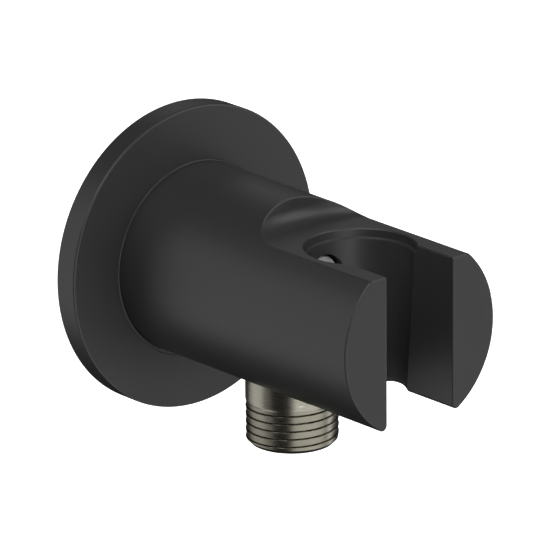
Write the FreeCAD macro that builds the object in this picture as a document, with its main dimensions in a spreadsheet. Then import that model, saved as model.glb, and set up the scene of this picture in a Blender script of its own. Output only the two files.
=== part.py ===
import FreeCAD, Part
import math
import os

import Sketcher

# Hand shower bracket: a wall outlet elbow inside a forked arm that holds the hand shower.
# The wall is the plane y = 0, the arm runs along -Y, and the hose outlet points down.
# The origin lies on the arm's axis, in the wall plane. All lengths are in millimetres.

os.makedirs("parts", exist_ok=True)
doc = FreeCAD.newDocument("hand_shower_bracket")

SIZES = [
    # wall flange
    ("flange_dia", 70.7), ("flange_depth", 5.9), ("flange_plate", 2.2), ("flange_rim_wall", 2.4),
    ("flange_edge_round", 0.4), ("flange_fit", 0.25), ("hub_wall", 2.1), ("hub_setback", 1.8),
    ("hole_edge_chamfer", 0.2), ("key_rise", 0.75), ("key_half_angle", 32.0),
    ("key_gap", 0.1), ("key_side_gap", 0.5), ("gasket_width", 4.2), ("gasket_gap", 0.1),
    # arm
    ("arm_dia", 44.4), ("arm_draft", 0.9), ("arm_reach", 81.5), ("arm_setback", 1.5),
    ("arm_wall", 3.7), ("seal_section", 1.5), ("seal_offset", 3.6), ("seal_side_gap", 0.15),
    # fork end: top flat, scoop, socket and slot
    ("flat_drop", 5.8), ("socket_offset", 62.0), ("scoop_radius", 22.6), ("scoop_round", 3.3),
    ("socket_rim_dia", 24.8), ("rim_chamfer", 0.25), ("counterbore_depth", 1.9),
    ("ledge_drop", 0.4), ("socket_seat_dia", 23.7), ("socket_exit_dia", 20.7),
    ("fork_slot", 19.2), ("fork_under_round", 1.2), ("fork_tip_round", 0.45), ("edge_round", 0.25),
    # elbow in the arm
    ("elbow_setback", 3.3), ("elbow_reach", 43.9), ("elbow_fit", 0.2), ("elbow_collar_width", 6.0),
    ("nose_rise", 0.7), ("waist_step", 0.8), ("elbow_nose_width", 9.9),
    ("boss_dia", 20.9), ("boss_face", 9.8), ("boss_cover", 8.2), ("boss_roof", 5.3),
    ("slot_roof", 5.0), ("water_dia", 10.0), ("water_drop", 3.0), ("riser_dia", 11.0), ("riser_cover", 1.0),
    # fixing screw through the socket's rear wall, and the lock screw under the elbow
    ("screw_height", 6.7), ("screw_dia", 5.0), ("screw_length", 12.0), ("screw_head_dia", 8.5),
    ("screw_head_depth", 3.5), ("screw_hex", 3.0), ("screw_hex_depth", 1.8), ("screw_seat_wall", 1.9),
    ("screw_head_gap", 0.55), ("screw_clearance", 0.25), ("thread_fit", 0.05), ("tapped_extra", 0.9),
    ("lock_dia", 5.0), ("lock_recess", 0.7), ("lock_point", 0.3), ("lock_hex", 2.5),
    ("lock_hex_depth", 2.5), ("lock_groove", 1.0),
    # hose outlet nipple
    ("outlet_offset", 38.8), ("outlet_dia", 20.955), ("outlet_drop", 12.7), ("outlet_chamfer", 1.0),
    ("hose_thread", 8.5), ("runout_width", 1.0), ("runout_depth", 1.1),
    ("neck_thread_dia", 16.66), ("neck_thread_length", 6.4), ("neck_thread_room", 0.4),
    ("neck_bore_dia", 10.0), ("washer_thick", 1.0), ("neck_gap", 0.3),
    ("cover_gap", 0.1), ("cover_horn", 4.3), ("cover_setback", 0.2),
    # non-return valve in the outlet
    ("valve_bore_dia", 14.2), ("valve_fit", 0.1), ("valve_length", 15.1), ("valve_end_gap", 0.2),
    ("valve_wall", 1.5), ("valve_stem_dia", 2.4), ("valve_disc_dia", 8.6), ("valve_disc_thick", 1.6),
    ("valve_disc_depth", 4.2), ("valve_spoke", 1.3), ("valve_spoke_height", 2.6),
    ("valve_seal_section", 1.3), ("valve_seal_depth", 2.6), ("ring_wire", 1.0), ("ring_groove", 0.5),
    ("ring_gap_angle", 70.0), ("ring_offset", 1.5),
    # wall nipple
    ("inlet_dia", 20.955), ("inlet_reach", 15.0), ("inlet_chamfer", 1.0),
    ("nipple_collar_dia", 26.0), ("nipple_collar_thick", 3.0),
    ("spigot_dia", 18.0), ("spigot_length", 15.0), ("spigot_fit", 0.1), ("spigot_room", 1.0),
    ("spigot_seal_section", 1.7), ("rear_seal_offset", 11.0), ("front_seal_offset", 15.0),
    ("nipple_bore_dia", 9.8), ("nipple_hex", 10.0), ("nipple_hex_depth", 5.0),
    ("strainer_dia", 14.2), ("strainer_thick", 1.6), ("strainer_fit", 0.1), ("strainer_hole_dia", 2.6),
    ("strainer_pitch", 4.6),
]

sheet = doc.addObject("Spreadsheet::Sheet", "Sizes")
for row, (name, value) in enumerate(SIZES, start=1):
    sheet.set("A%d" % row, name)
    sheet.set("B%d" % row, str(value))
    sheet.setAlias("B%d" % row, name)
doc.recompute()


def size(name):
    """The present value of one driving dimension."""
    return float(sheet.get(name))


def cell(name):
    """The expression that reads one driving dimension."""
    return "Sizes." + name


# Derived radii and places that several pieces share, as expressions of the driving dimensions.
ARM_ROOT = "Sizes.arm_dia / 2"
ARM_TIP = "(Sizes.arm_dia - Sizes.arm_draft) / 2"
FLAT_HEIGHT = "(Sizes.arm_dia / 2 - Sizes.flat_drop)"
CAVITY = "(Sizes.arm_dia / 2 - Sizes.arm_wall)"
ELBOW_NOSE = "(Sizes.arm_dia / 2 - Sizes.boss_cover - Sizes.nose_rise)"
ELBOW_WAIST = "(%s - Sizes.waist_step)" % ELBOW_NOSE
NOSE_CAVITY = "(%s + Sizes.elbow_fit)" % ELBOW_NOSE
FLANGE_HOLE = "(Sizes.arm_dia / 2 + Sizes.flange_fit)"
KEY_RADIUS = "(Sizes.arm_dia / 2 + Sizes.key_rise)"
SEAL_FLOOR = "(Sizes.arm_dia / 2 + Sizes.flange_fit - Sizes.seal_section)"
SEAL_HALF = "(Sizes.seal_section / 2 + Sizes.seal_side_gap)"
OUTLET_SLOT = "(Sizes.outlet_dia / 2 + Sizes.neck_gap)"
SCREW_SEAT = "(Sizes.elbow_reach + Sizes.screw_seat_wall)"
LOCK_OFFSET = "(Sizes.elbow_setback + Sizes.elbow_collar_width / 2)"
SPIGOT_END = "(Sizes.nipple_collar_thick + Sizes.spigot_length)"
BOSS_BOTTOM = "(Sizes.arm_dia / 2 - Sizes.boss_cover)"
NECK_SHOULDER = "(Sizes.arm_dia / 2 - Sizes.boss_cover + Sizes.washer_thick)"
NECK_TOP = "(Sizes.arm_dia / 2 - Sizes.boss_cover + Sizes.washer_thick - Sizes.neck_thread_length)"
OUTLET_END = "(Sizes.arm_dia / 2 + Sizes.outlet_drop)"
VALVE_BOTTOM = "(%s - Sizes.ring_offset - Sizes.ring_wire / 2 - Sizes.valve_end_gap)" % OUTLET_END
VALVE_TOP = "(%s - Sizes.valve_length)" % VALVE_BOTTOM
VALVE_ROOF = "(%s - Sizes.valve_fit)" % VALVE_TOP


def new_body(label, lift_y=None, lift_z=None):
    """A body at the origin, or moved along Y or Z by an expression."""
    body = doc.addObject("PartDesign::Body", label)
    body.Label = label
    if lift_y:
        body.setExpression(".Placement.Base.y", lift_y)
    if lift_z:
        body.setExpression(".Placement.Base.z", lift_z)
    return body


def origin_item(body, role):
    """One origin plane or axis of a body, by its role."""
    return [item for item in body.Origin.OriginFeatures if item.Role == role][0]


def new_sketch(body, label, plane, lift=None):
    """An empty sketch on an origin plane of the body, lifted along the plane's normal."""
    sketch = body.newObject("Sketcher::SketchObject", label)
    sketch.AttachmentSupport = (origin_item(body, plane), [""])
    sketch.MapMode = "FlatFace"
    if lift:
        sketch.setExpression(".AttachmentOffset.Base.z", lift)
    return sketch


def bind(sketch, kind, reference, name, expression, start):
    """Add one dimension to a sketch, at its present value, and tie it to an expression."""
    number = sketch.addConstraint(Sketcher.Constraint(kind, *reference, start))
    sketch.renameConstraint(number, name)
    sketch.setExpression("Constraints." + name, expression)


def place_point(sketch, geometry, end, name, across, along):
    """Hold one point of a sketch at two distances from the origin."""
    spot = sketch.getPoint(geometry, end)
    bind(sketch, "DistanceX", (-1, 1, geometry, end), name + "_x", across, spot.x)
    bind(sketch, "DistanceY", (-1, 1, geometry, end), name + "_y", along, spot.y)


def outline(body, label, plane, corners, lift=None):
    """A closed outline of straight edges whose corners are pairs of expressions."""
    sketch = new_sketch(body, label, plane, lift)
    count = len(corners)
    turn = 2 * math.pi / count
    start = [FreeCAD.Vector(math.cos(i * turn), math.sin(i * turn), 0) for i in range(count)]
    for i in range(count):
        sketch.addGeometry(Part.LineSegment(start[i], start[(i + 1) % count]), False)
    for i in range(count):
        sketch.addConstraint(Sketcher.Constraint("Coincident", i, 2, (i + 1) % count, 1))
        place_point(sketch, i, 1, "p%d" % i, *corners[i])
    return sketch


def discs(body, label, plane, circles, lift=None):
    """Circles given as (across, along, radius) expressions."""
    sketch = new_sketch(body, label, plane, lift)
    for i, (across, along, radius) in enumerate(circles):
        sketch.addGeometry(Part.Circle(FreeCAD.Vector(0, 0, 0), FreeCAD.Vector(0, 0, 1), 1 + i), False)
        place_point(sketch, i, 3, "c%d" % i, across, along)
        bind(sketch, "Radius", (i,), "r%d" % i, radius, 1 + i)
    return sketch


def hexagon(body, label, plane, across, along, flats, lift=None):
    """A hexagon by its width across flats, with two corners on a vertical line."""
    corners = []
    for i in range(6):
        angle = "%d deg" % (60 * i + 30)
        corner = "(%s) / 2 / cos(30 deg)" % flats
        corners.append(("(%s) + %s * cos(%s)" % (across, corner, angle),
                        "(%s) + %s * sin(%s)" % (along, corner, angle)))
    return outline(body, label, plane, corners, lift)


def turn_feature(body, kind, label, sketch, axis):
    """A revolution or a groove of a whole turn about one of the body's axes."""
    feature = body.newObject(kind, label)
    feature.Profile = sketch
    feature.ReferenceAxis = (origin_item(body, axis), [""])
    feature.Angle = 360
    doc.recompute()
    return feature


def straight_feature(body, kind, label, sketch, length, reverse=False):
    """A pad or a pocket of a given length."""
    feature = body.newObject(kind, label)
    feature.Profile = sketch
    feature.Type = "Length"
    feature.setExpression("Length", length)
    feature.Reversed = reverse
    doc.recompute()
    return feature


def edges_where(feature, test):
    """The names of the edges of a feature whose middle point passes a test."""
    names = []
    for number, edge in enumerate(feature.Shape.Edges, start=1):
        middle = edge.valueAt((edge.FirstParameter + edge.LastParameter) / 2)
        if test(middle, edge):
            names.append("Edge%d" % number)
    return names


def soften(body, label, radius, test, kind="PartDesign::Fillet", setting="Radius"):
    """Round or bevel the edges of the body's last feature that pass a test."""
    base = body.Tip
    names = edges_where(base, test)
    if not names:
        raise RuntimeError(label + " found no edge")
    feature = body.newObject(kind, label)
    feature.Base = (base, names)
    feature.setExpression(setting, radius)
    doc.recompute()
    return feature


def arm_radius(y):
    """Outer radius of the arm at a place along its axis."""
    root = size("arm_dia") / 2
    tip = root - size("arm_draft") / 2
    share = (-y - size("arm_setback")) / (size("arm_reach") - size("arm_setback"))
    return root + (tip - root) * share


def on_arm(point):
    """Whether a point lies on the arm's outer surface."""
    return abs(math.hypot(point.x, point.z) - arm_radius(point.y)) < 0.01


# Arm and fork
# The arm is a slightly tapered round bar, hollow from the wall side for the elbow.
def make_holder_body():
    body = new_body("holder_body")
    arm = outline(body, "arm_profile", "YZ_Plane", [
        ("-Sizes.arm_setback", CAVITY),
        ("-Sizes.arm_setback", ARM_ROOT),
        ("-Sizes.arm_reach", ARM_TIP),
        ("-Sizes.arm_reach", "0"),
        ("-Sizes.elbow_reach", "0"),
        ("-Sizes.elbow_reach", NOSE_CAVITY),
        ("-(Sizes.elbow_reach - Sizes.elbow_nose_width)", NOSE_CAVITY),
        ("-(Sizes.elbow_reach - Sizes.elbow_nose_width)", CAVITY)])
    turn_feature(body, "PartDesign::Revolution", "arm", arm, "Y_Axis")

    # The top is milled flat from the socket's middle to the tip.
    flat = outline(body, "top_flat_plan", "YZ_Plane", [
        ("-Sizes.socket_offset", FLAT_HEIGHT),
        ("-Sizes.socket_offset", ARM_ROOT + " + 2"),
        ("-Sizes.arm_reach - 2", ARM_ROOT + " + 2"),
        ("-Sizes.arm_reach - 2", FLAT_HEIGHT)])
    feature = straight_feature(body, "PartDesign::Pocket", "top_flat", flat, cell("arm_dia"))
    feature.SideType = "Symmetric"
    doc.recompute()

    # Behind the socket the flat ends in a scoop: a round wall about the socket's axis
    # that runs out of the flat in a large concave fillet.
    make_scoop(body)

    # Conical socket with a counterbore and a narrow sloping ledge.
    socket_floor = "-(%s) - 1" % ARM_ROOT
    rim = cell("socket_rim_dia") + " / 2"
    socket = outline(body, "socket_profile", "XZ_Plane", [
        ("0", FLAT_HEIGHT + " + 1"),
        (rim + " + Sizes.rim_chamfer + 1", FLAT_HEIGHT + " + 1"),
        (rim + " + Sizes.rim_chamfer", FLAT_HEIGHT),
        (rim, FLAT_HEIGHT + " - Sizes.rim_chamfer"),
        (rim, FLAT_HEIGHT + " - Sizes.counterbore_depth"),
        ("Sizes.socket_seat_dia / 2",
         FLAT_HEIGHT + " - Sizes.counterbore_depth - Sizes.ledge_drop"),
        ("Sizes.socket_exit_dia / 2", socket_floor),
        ("0", socket_floor)], lift=cell("socket_offset"))
    turn_about_upright(body, "socket", socket)

    # Slot between the two prongs, open at the tip, for the hose.
    slot = outline(body, "fork_slot_plan", "XY_Plane", [
        ("-Sizes.fork_slot / 2", "-Sizes.socket_offset"),
        ("Sizes.fork_slot / 2", "-Sizes.socket_offset"),
        ("Sizes.fork_slot / 2", "-Sizes.arm_reach - 2"),
        ("-Sizes.fork_slot / 2", "-Sizes.arm_reach - 2")])
    feature = straight_feature(body, "PartDesign::Pocket", "fork_slot", slot, cell("arm_dia") + " + 4")
    feature.SideType = "Symmetric"
    doc.recompute()

    # Slot under the arm that lets it slide over the hose outlet from the front.
    make_outlet_slot(body)

    # Counterbored hole of the fixing screw in the socket's rear wall.
    hole = discs(body, "screw_hole_circle", "XZ_Plane",
                 [("0", cell("screw_height"), "Sizes.screw_dia / 2 + Sizes.screw_clearance")])
    straight_feature(body, "PartDesign::Pocket", "screw_hole", hole, cell("socket_offset"), True)
    head = discs(body, "screw_head_circle", "XZ_Plane",
                 [("0", cell("screw_height"), "Sizes.screw_head_dia / 2 + Sizes.screw_head_gap")],
                 lift=SCREW_SEAT)
    straight_feature(body, "PartDesign::Pocket", "screw_head_recess", head,
                     "Sizes.socket_offset - " + SCREW_SEAT, True)

    # Groove near the wall end for the ring that grips the flange.
    groove = outline(body, "seal_groove_profile", "YZ_Plane", seal_groove_corners())
    turn_feature(body, "PartDesign::Groove", "seal_groove", groove, "Y_Axis")

    # The lower edges of the slot and of the socket's exit are rounded all along, then the
    # corners between the slot and the tip with the tip's own outline. The outline of the
    # flat and of the scoop gets a fine bevel.
    half_slot = size("fork_slot") / 2
    reach = size("arm_reach")
    mouth = -(size("socket_offset") - size("socket_exit_dia") / 2) + 1
    flat = size("arm_dia") / 2 - size("flat_drop")

    def under_edge(point, edge):
        return on_arm(point) and point.z < -half_slot and -reach + 0.5 < point.y < mouth

    def tip_slot_edge(point, edge):
        return abs(point.y + reach) < 0.01 and abs(abs(point.x) - half_slot) < 0.01

    def tip_top_edge(point, edge):
        return abs(point.y + reach) < 0.01 and abs(point.z - flat) < 0.01

    soften(body, "fork_under_round", cell("fork_under_round"), under_edge)
    soften(body, "fork_tip_round", cell("fork_tip_round"), tip_slot_edge)
    soften(body, "top_edge_bevel", cell("edge_round"), tip_top_edge, "PartDesign::Chamfer", "Size")
    return body


def seal_groove_corners():
    """Section of the groove for the flange's grip ring, shared by the arm and the slot cover."""
    near = "-Sizes.seal_offset + " + SEAL_HALF
    far = "-Sizes.seal_offset - " + SEAL_HALF
    return [(near, SEAL_FLOOR), (near, KEY_RADIUS + " + 2"), (far, KEY_RADIUS + " + 2"), (far, SEAL_FLOOR)]


def make_scoop(body):
    """Cut the scoop: straight wall, concave corner arc and level floor, turned about the socket axis."""
    sketch = new_sketch(body, "scoop_profile", "XZ_Plane", cell("socket_offset"))
    floor = size("arm_dia") / 2 - size("flat_drop")
    wall = size("scoop_radius")
    bend = size("scoop_round")
    top = size("arm_dia") / 2 + 2
    spots = [FreeCAD.Vector(0, floor, 0), FreeCAD.Vector(wall - bend, floor, 0),
             FreeCAD.Vector(wall, floor + bend, 0), FreeCAD.Vector(wall, top, 0), FreeCAD.Vector(0, top, 0)]
    sketch.addGeometry(Part.LineSegment(spots[0], spots[1]), False)
    corner = Part.Circle(FreeCAD.Vector(wall - bend, floor + bend, 0), FreeCAD.Vector(0, 0, 1), bend)
    sketch.addGeometry(Part.ArcOfCircle(corner, -math.pi / 2, 0), False)
    sketch.addGeometry(Part.LineSegment(spots[2], spots[3]), False)
    sketch.addGeometry(Part.LineSegment(spots[3], spots[4]), False)
    sketch.addGeometry(Part.LineSegment(spots[4], spots[0]), False)
    for first, second in ((0, 1), (1, 2), (2, 3), (3, 4), (4, 0)):
        sketch.addConstraint(Sketcher.Constraint("Coincident", first, 2, second, 1))
    place_point(sketch, 0, 1, "middle", "0", FLAT_HEIGHT)
    place_point(sketch, 0, 2, "bend_start", "Sizes.scoop_radius - Sizes.scoop_round", FLAT_HEIGHT)
    place_point(sketch, 1, 2, "bend_end", cell("scoop_radius"), FLAT_HEIGHT + " + Sizes.scoop_round")
    place_point(sketch, 2, 2, "wall_top", cell("scoop_radius"), ARM_ROOT + " + 2")
    place_point(sketch, 3, 2, "top_middle", "0", ARM_ROOT + " + 2")
    bind(sketch, "Radius", (1,), "bend", cell("scoop_round"), bend)
    turn_about_upright(body, "scoop", sketch)


def turn_about_upright(body, label, sketch):
    """A whole-turn cut about the upright line through the sketch's own origin."""
    feature = body.newObject("PartDesign::Groove", label)
    feature.Profile = sketch
    feature.ReferenceAxis = (sketch, ["V_Axis"])
    feature.Angle = 360
    doc.recompute()
    return feature


def make_outlet_slot(body):
    """Cut the slot under the arm, with straight sides and a round end about the outlet's axis."""
    sketch = new_sketch(body, "outlet_slot_plan", "XY_Plane", "-Sizes.slot_roof")
    half = size("outlet_dia") / 2 + size("neck_gap")
    middle = -size("outlet_offset")
    sketch.addGeometry(Part.LineSegment(FreeCAD.Vector(-half, middle, 0), FreeCAD.Vector(-half, 2, 0)), False)
    sketch.addGeometry(Part.LineSegment(FreeCAD.Vector(-half, 2, 0), FreeCAD.Vector(half, 2, 0)), False)
    sketch.addGeometry(Part.LineSegment(FreeCAD.Vector(half, 2, 0), FreeCAD.Vector(half, middle, 0)), False)
    end = Part.Circle(FreeCAD.Vector(0, middle, 0), FreeCAD.Vector(0, 0, 1), half)
    sketch.addGeometry(Part.ArcOfCircle(end, math.pi, 2 * math.pi), False)
    for first, first_end, second, second_end in ((0, 2, 1, 1), (1, 2, 2, 1), (2, 2, 3, 2), (3, 1, 0, 1)):
        sketch.addConstraint(Sketcher.Constraint("Coincident", first, first_end, second, second_end))
    place_point(sketch, 0, 1, "left", "-" + OUTLET_SLOT, "-Sizes.outlet_offset")
    place_point(sketch, 1, 1, "left_back", "-" + OUTLET_SLOT, "2")
    place_point(sketch, 2, 1, "right_back", OUTLET_SLOT, "2")
    place_point(sketch, 2, 2, "right", OUTLET_SLOT, "-Sizes.outlet_offset")
    bind(sketch, "DistanceY", (-1, 1, 3, 3), "centre_y", "-Sizes.outlet_offset", middle)
    straight_feature(body, "PartDesign::Pocket", "outlet_slot", sketch, cell("arm_dia"))


# Wall flange
# A dished disc with a rim and a softened front edge, and a hub that the arm passes through. The hole has a
# wider stretch at the bottom for the key of the slot cover.
def make_wall_flange():
    body = new_body("wall_flange")
    inner_face = "-(Sizes.flange_depth - Sizes.flange_plate)"
    hub = FLANGE_HOLE + " + Sizes.hub_wall"
    rim = "Sizes.flange_dia / 2"
    profile = outline(body, "flange_profile", "YZ_Plane", [
        ("-Sizes.hub_setback", FLANGE_HOLE),
        ("-(Sizes.flange_depth - Sizes.hole_edge_chamfer)", FLANGE_HOLE),
        ("-Sizes.flange_depth", FLANGE_HOLE + " + Sizes.hole_edge_chamfer"),
        ("-Sizes.flange_depth", rim + " - Sizes.flange_edge_round"),
        ("-(Sizes.flange_depth - 0.3 * Sizes.flange_edge_round)", rim + " - 0.3 * Sizes.flange_edge_round"),
        ("-(Sizes.flange_depth - Sizes.flange_edge_round)", rim),
        ("0", rim),
        ("0", rim + " - Sizes.flange_rim_wall"),
        (inner_face, rim + " - Sizes.flange_rim_wall"),
        (inner_face, hub),
        ("-Sizes.hub_setback", hub)])
    turn_feature(body, "PartDesign::Revolution", "flange_disc", profile, "Y_Axis")
    keyway = body.newObject("PartDesign::Groove", "keyway")
    section = outline(body, "keyway_profile", "YZ_Plane", [
        ("1", "-" + ARM_ROOT),
        ("1", "-(%s + Sizes.key_gap)" % KEY_RADIUS),
        ("-Sizes.flange_depth - 1", "-(%s + Sizes.key_gap)" % KEY_RADIUS),
        ("-Sizes.flange_depth - 1", "-" + ARM_ROOT)])
    keyway.Profile = section
    keyway.ReferenceAxis = (origin_item(body, "Y_Axis"), [""])
    keyway.Midplane = True
    keyway.setExpression("Angle", "2 * (Sizes.key_half_angle + Sizes.key_side_gap)")
    body.Tip = keyway
    doc.recompute()
    return body


# Foam ring in the flange's hollow, pressed on the wall.
def make_flange_gasket():
    body = new_body("flange_gasket")
    outer = "Sizes.flange_dia / 2 - Sizes.flange_rim_wall - Sizes.gasket_gap"
    back = "-(Sizes.flange_depth - Sizes.flange_plate)"
    profile = outline(body, "gasket_profile", "YZ_Plane", [
        ("0", outer + " - Sizes.gasket_width"),
        ("0", outer),
        (back, outer),
        (back, outer + " - Sizes.gasket_width")])
    turn_feature(body, "PartDesign::Revolution", "gasket", profile, "Y_Axis")
    return body


def make_ring(label, floor, seat, width, upright, along):
    """A rubber ring squeezed between a groove floor and a seat, with its corners cut off."""
    body = new_body(label)
    plane, axis, place = ("XZ_Plane", "Z_Axis", "z") if upright else ("YZ_Plane", "Y_Axis", "y")
    body.setExpression(".Placement.Base." + place, along)
    if upright:
        body.setExpression(".Placement.Base.y", "-Sizes.outlet_offset")
    half = "(%s) / 2" % width
    cut_back = "(%s) / 4" % width
    rows = [(floor, "-" + cut_back), (floor + " + " + cut_back, "-" + half),
            (seat + " - " + cut_back, "-" + half), (seat, "-" + cut_back),
            (seat, cut_back), (seat + " - " + cut_back, half),
            (floor + " + " + cut_back, half), (floor, cut_back)]
    corners = rows if upright else [(along_axis, radius) for radius, along_axis in rows]
    section = outline(body, label + "_section", plane, corners)
    turn_feature(body, "PartDesign::Revolution", label + "_ring", section, axis)
    return body


# Slot cover
# A curved strip that closes the slot under the arm behind the outlet. Its raised key
# fills the wide stretch of the flange's hole and keeps the flange from turning.
def make_slot_cover():
    back = "(Sizes.arm_setback + Sizes.cover_setback)"
    inner = CAVITY + " + Sizes.cover_gap / 2"
    plan_half = "(%s - Sizes.cover_gap)" % OUTLET_SLOT

    outer = axis_cone("cover_outside", cell("arm_setback"), cell("arm_reach"), ARM_ROOT, ARM_TIP)
    key = axis_cylinder("cover_key_round", back, cell("flange_depth"), KEY_RADIUS)
    skin = fuse("cover_outside_with_key", [outer, key])
    hollow = axis_cylinder("cover_inside", "-1", "Sizes.arm_reach + 1", inner)
    shell = cut("cover_shell", skin, hollow)
    strip_plan = doc.addObject("Part::Box", "cover_plan")
    strip_plan.setExpression("Length", "2 * " + plan_half)
    strip_plan.setExpression("Width", "Sizes.outlet_offset - Sizes.cover_horn - " + back)
    strip_plan.setExpression("Height", ARM_ROOT + " + Sizes.key_rise")
    strip_plan.setExpression(".Placement.Base.x", "-" + plan_half)
    strip_plan.setExpression(".Placement.Base.y", "-(Sizes.outlet_offset - Sizes.cover_horn)")
    strip_plan.setExpression(".Placement.Base.z", "-(%s + Sizes.key_rise)" % ARM_ROOT)
    strip = common("cover_strip", shell, strip_plan)

    wing_out = axis_cylinder("cover_wing_outside", back, cell("flange_depth"), KEY_RADIUS)
    wing_out.setExpression("Angle", "2 * Sizes.key_half_angle")
    aim_sector(wing_out, back)
    wing_in = axis_cylinder("cover_wing_inside", "-1", "Sizes.arm_reach", ARM_ROOT + " + Sizes.cover_gap / 2")
    wings = cut("cover_wings", wing_out, wing_in)
    keyed = fuse("cover_keyed", [strip, wings])

    neck = doc.addObject("Part::Cylinder", "cover_neck_round")
    neck.setExpression("Radius", "Sizes.outlet_dia / 2 + Sizes.neck_gap - Sizes.cover_gap / 2")
    neck.setExpression("Height", cell("arm_dia"))
    neck.setExpression(".Placement.Base.y", "-Sizes.outlet_offset")
    neck.setExpression(".Placement.Base.z", "-Sizes.arm_dia")
    notched = cut("cover_notched", keyed, neck)

    groove_out = axis_cylinder("cover_groove_outside", "Sizes.seal_offset - " + SEAL_HALF,
                               "Sizes.seal_offset + " + SEAL_HALF, KEY_RADIUS + " + 2")
    groove_in = axis_cylinder("cover_groove_floor", "-1", cell("arm_reach"), SEAL_FLOOR)
    groove = cut("cover_groove", groove_out, groove_in)
    cover = cut("slot_cover", notched, groove)
    cover.Refine = True
    cover.Label = "slot_cover"
    return cover


def axis_cylinder(label, near, far, radius):
    """A cylinder about the arm's axis, between two distances from the wall."""
    solid = doc.addObject("Part::Cylinder", label)
    solid.setExpression("Radius", radius)
    solid.setExpression("Height", "(%s) - (%s)" % (far, near))
    solid.Placement = FreeCAD.Placement(FreeCAD.Vector(), FreeCAD.Rotation(FreeCAD.Vector(1, 0, 0), 90))
    solid.setExpression(".Placement.Base.y", "-(%s)" % near)
    return solid


def axis_cone(label, near, far, near_radius, far_radius):
    """A cone about the arm's axis, between two distances from the wall."""
    solid = doc.addObject("Part::Cone", label)
    solid.setExpression("Radius1", near_radius)
    solid.setExpression("Radius2", far_radius)
    solid.setExpression("Height", "(%s) - (%s)" % (far, near))
    solid.Placement = FreeCAD.Placement(FreeCAD.Vector(), FreeCAD.Rotation(FreeCAD.Vector(1, 0, 0), 90))
    solid.setExpression(".Placement.Base.y", "-(%s)" % near)
    return solid


def aim_sector(solid, near):
    """Turn a part cylinder so that the middle of its angle points straight down."""
    lay = FreeCAD.Rotation(FreeCAD.Vector(1, 0, 0), 90)
    spin = FreeCAD.Rotation(FreeCAD.Vector(0, 0, 1), -90 - size("key_half_angle"))
    solid.Placement = FreeCAD.Placement(FreeCAD.Vector(), lay * spin)
    solid.setExpression(".Placement.Base.y", "-(%s)" % near)


def fuse(label, shapes):
    solid = doc.addObject("Part::MultiFuse", label)
    solid.Shapes = shapes
    return solid


def cut(label, base, tool):
    solid = doc.addObject("Part::Cut", label)
    solid.Base = base
    solid.Tool = tool
    return solid


def common(label, base, tool):
    solid = doc.addObject("Part::Common", label)
    solid.Base = base
    solid.Tool = tool
    return solid


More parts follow.
